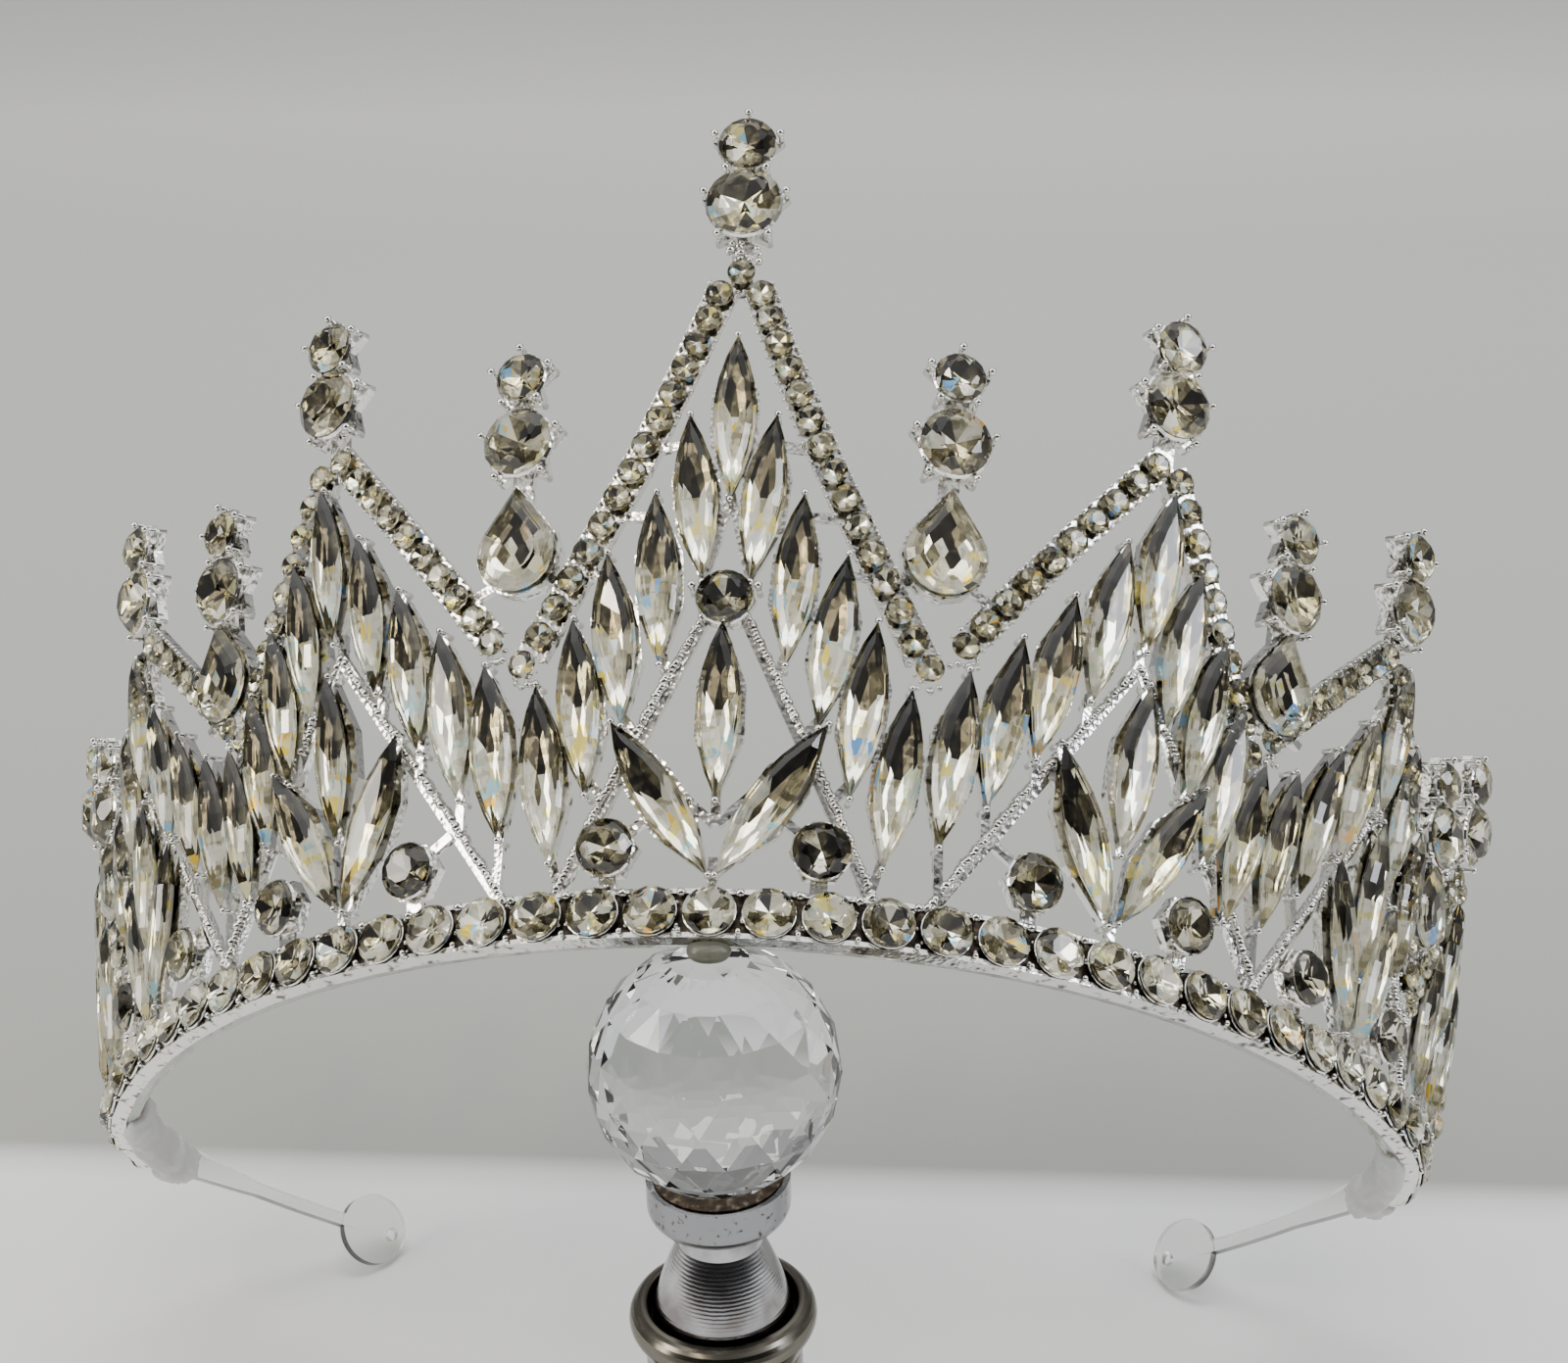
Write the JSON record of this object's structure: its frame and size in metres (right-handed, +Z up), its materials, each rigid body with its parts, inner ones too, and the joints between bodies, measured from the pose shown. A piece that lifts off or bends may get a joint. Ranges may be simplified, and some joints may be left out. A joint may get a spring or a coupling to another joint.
{
  "type": "crystal tiara on finial stand",
  "caption": "Silver-plated tiara set with clear marquise, round and pear stones on a clear headband, tipped back on a glass-ball finial stand.",
  "frame": {"origin": "middle of the stand's foot, on the surface it stands on", "axes": "+Z up, +Y from the front of the tiara to its back, +X to its right as seen from the front"},
  "size_m": [0.1544, 0.0811, 0.1273],
  "materials": {
    "silver_plating": "bright",
    "cut_glass": "polished",
    "smoky_glass": "polished",
    "clear_plastic": "glossy",
    "milky_glue": "satin",
    "yellow_glue": "glossy",
    "old_glue": "satin",
    "ball_glass": "polished",
    "chrome": "polished",
    "turned_steel": "turned",
    "nickel": "polished"
  },
  "bodies": {
    "root": {"crown_frame": "silver_plating", "band_stones": "cut_glass", "zigzag_stones": "smoky_glass", "marquises_centre": "cut_glass", "marquises_left": "cut_glass", "marquises_right": "cut_glass", "arrow_marquises": "cut_glass", "post_stones": "cut_glass", "arrow_stone": "cut_glass", "finial_stone_1": "cut_glass", "finial_stone_2": "cut_glass", "finial_stone_3": "cut_glass", "finial_stone_4": "cut_glass", "finial_stone_5": "cut_glass", "finial_stone_6": "cut_glass", "finial_stone_7": "cut_glass", "finial_stone_8": "cut_glass", "finial_stone_9": "cut_glass", "finial_stone_10": "cut_glass", "finial_stone_11": "cut_glass", "finial_stone_12": "cut_glass", "finial_stone_13": "cut_glass", "finial_stone_14": "cut_glass", "drop_stone_1": "cut_glass", "drop_stone_2": "cut_glass", "drop_stone_3": "cut_glass", "drop_stone_4": "cut_glass", "drop_stone_5": "cut_glass", "drop_stone_6": "cut_glass", "drop_stone_7": "cut_glass", "drop_stone_8": "cut_glass", "drop_stone_9": "cut_glass", "drop_stone_10": "cut_glass", "drop_stone_11": "cut_glass", "drop_stone_12": "cut_glass", "pear_stone_1": "cut_glass", "pear_stone_2": "cut_glass", "pear_stone_3": "cut_glass", "pear_stone_4": "cut_glass", "pear_stone_5": "cut_glass", "pear_stone_6": "cut_glass", "clear_headband": "clear_plastic", "glue_pad_left": "milky_glue", "glue_pad_right": "milky_glue", "glue_nub": "yellow_glue", "crystal_ball": "ball_glass", "ball_glue": "old_glue", "ball_collar": "chrome", "ringed_neck": "turned_steel", "socket_ring": "nickel", "stand_post": "nickel"}
  },
  "joints": []
}
